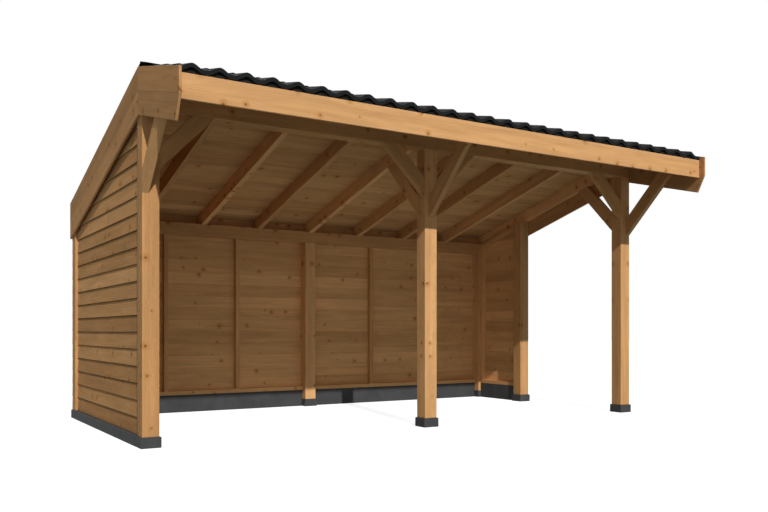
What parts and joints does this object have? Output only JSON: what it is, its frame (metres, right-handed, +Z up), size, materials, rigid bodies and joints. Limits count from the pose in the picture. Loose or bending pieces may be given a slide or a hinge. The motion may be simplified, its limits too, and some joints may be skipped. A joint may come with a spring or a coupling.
{
  "type": "open-sided shed",
  "caption": "Open-fronted timber shed with an offset gable roof of tile-profile sheets, braced posts on concrete feet and lapped boards on the back and sides; shelters a car, wood or tools.",
  "frame": {"origin": "middle of the bounding box on the floor", "axes": "+X to the right along the open front, +Y to the closed back, +Z up"},
  "size_m": [6.044, 4.0684, 3.3192],
  "materials": {
    "frame_timber": "planed untreated softwood",
    "boards": "sawn untreated softwood boards",
    "trim_boards": "planed untreated softwood boards",
    "concrete": "dark cast concrete",
    "roof_steel": "matt black coating"
  },
  "bodies": {
    "root": {"front_left_foot": "concrete", "front_middle_foot": "concrete", "front_right_foot": "concrete", "right_side_foot": "concrete", "back_feet": "concrete", "left_plinth": "concrete", "back_plinth": "concrete", "right_plinth": "concrete", "front_left_post": "frame_timber", "front_middle_post": "frame_timber", "front_right_post": "frame_timber", "right_side_post": "frame_timber", "back_left_post": "frame_timber", "back_middle_post": "frame_timber", "back_right_post": "frame_timber", "ridge_beam": "frame_timber", "back_beam": "frame_timber", "front_left_braces": "frame_timber", "front_middle_braces": "frame_timber", "front_right_braces": "frame_timber", "back_rafters": "frame_timber", "front_rafters": "frame_timber", "left_wall_rails": "frame_timber", "left_wall_studs": "frame_timber", "back_wall_rails": "frame_timber", "back_wall_studs": "frame_timber", "right_wall_rails": "frame_timber", "right_wall_stud": "frame_timber", "left_cladding": "boards", "back_cladding": "boards", "right_cladding": "boards", "back_roof_boards": "boards", "front_roof_boards": "boards", "back_battens": "frame_timber", "front_battens": "frame_timber", "left_back_upper_barge": "trim_boards", "left_back_lower_barge": "trim_boards", "left_front_upper_barge": "trim_boards", "left_front_lower_barge": "trim_boards", "right_back_upper_barge": "trim_boards", "right_back_lower_barge": "trim_boards", "right_front_upper_barge": "trim_boards", "right_front_lower_barge": "trim_boards", "front_fascia": "trim_boards", "back_fascia": "trim_boards", "back_roof_sheet": "roof_steel", "front_roof_sheet": "roof_steel", "ridge_cap": "roof_steel"}
  },
  "joints": []
}
